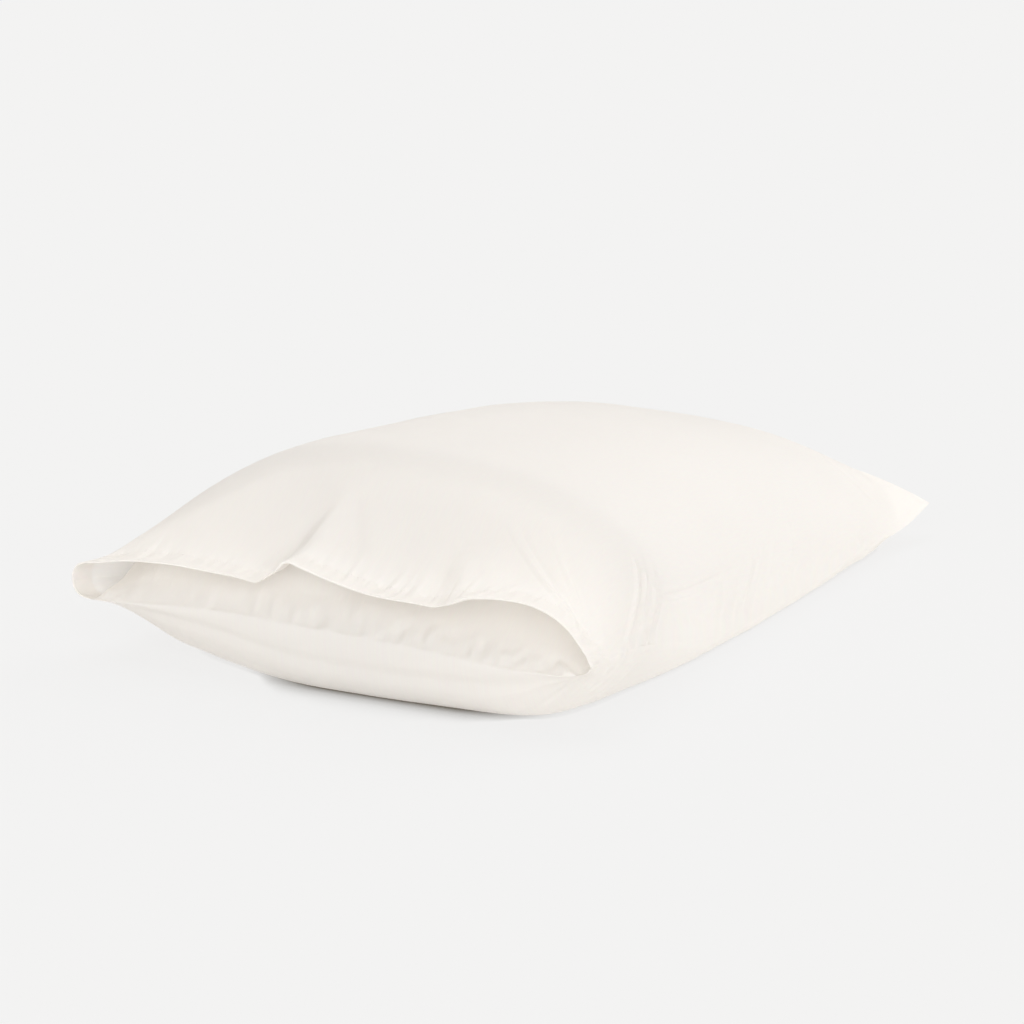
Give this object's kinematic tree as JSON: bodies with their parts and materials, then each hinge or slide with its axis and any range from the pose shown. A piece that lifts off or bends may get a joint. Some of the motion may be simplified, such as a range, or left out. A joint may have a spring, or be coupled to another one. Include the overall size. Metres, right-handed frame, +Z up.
{
  "type": "pillowcase on a pillow",
  "caption": "Plain envelope-closure pillowcase filled with a pillow, lying flat with its hemmed mouth a little open above the inner flap.",
  "frame": {"origin": "on the surface it lies on, under the middle of its box", "axes": "+X along the length from the open mouth to the closed end, +Y across the width, +Z up"},
  "size_m": [0.744, 0.475, 0.1687],
  "materials": {
    "ivory_cotton_front": "matte plain weave",
    "ivory_cotton_back": "matte plain weave",
    "pillow_cotton": "matte plain weave"
  },
  "bodies": {
    "root": {"front_panel": "ivory_cotton_front", "back_panel": "ivory_cotton_back", "pillow": "pillow_cotton"}
  },
  "joints": []
}
